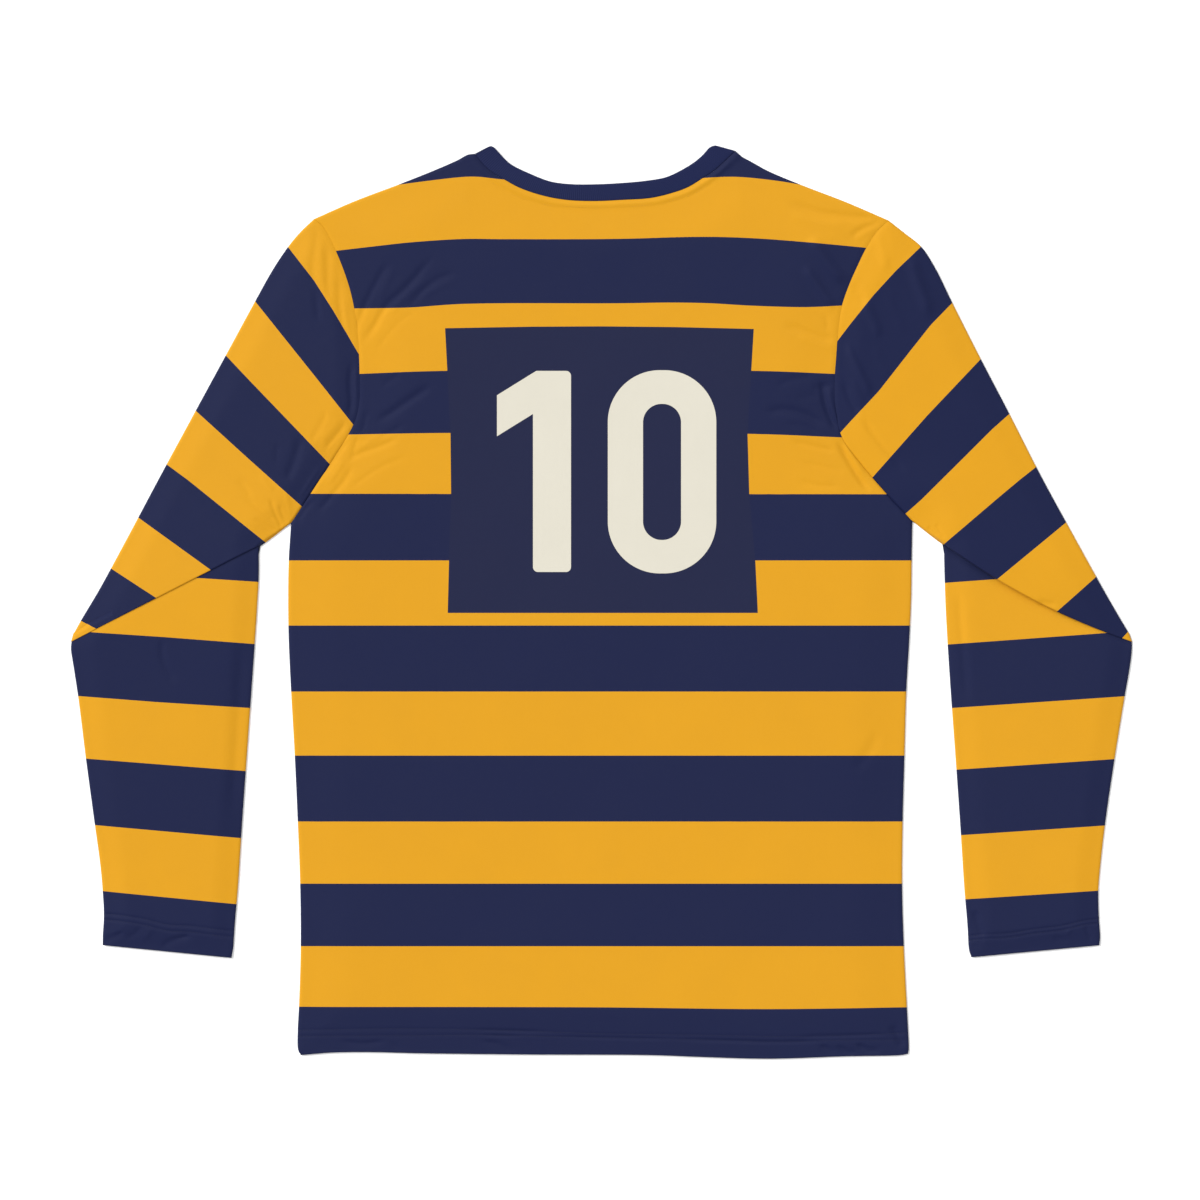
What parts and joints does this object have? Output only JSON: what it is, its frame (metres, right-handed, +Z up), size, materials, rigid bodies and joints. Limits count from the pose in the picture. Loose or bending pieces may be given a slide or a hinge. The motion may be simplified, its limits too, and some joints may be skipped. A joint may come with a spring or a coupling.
{
  "type": "long-sleeved jersey",
  "caption": "Long-sleeved striped knit jersey laid flat on its front, back up, with a round rib neckband, a plain number block on the back and sleeves folded over at the elbow.",
  "frame": {"origin": "On the surface it lies on, at the middle of the bounding box", "axes": "+X is the wearer's right and the width over both sleeves, +Y runs from the hem to the neck, +Z is up, out of the jersey's back"},
  "size_m": [0.884, 0.761, 0.0061],
  "materials": {
    "striped_knit": "matt knit in yellow and navy stripes",
    "navy_rib": "matt navy rib knit",
    "navy_thread": "matt navy sewing thread",
    "yellow_thread": "matt yellow sewing thread"
  },
  "bodies": {
    "root": {"front": "striped_knit", "back": "striped_knit", "sleeve_left": "striped_knit", "sleeve_right": "striped_knit", "neckband": "navy_rib"}
  },
  "joints": []
}
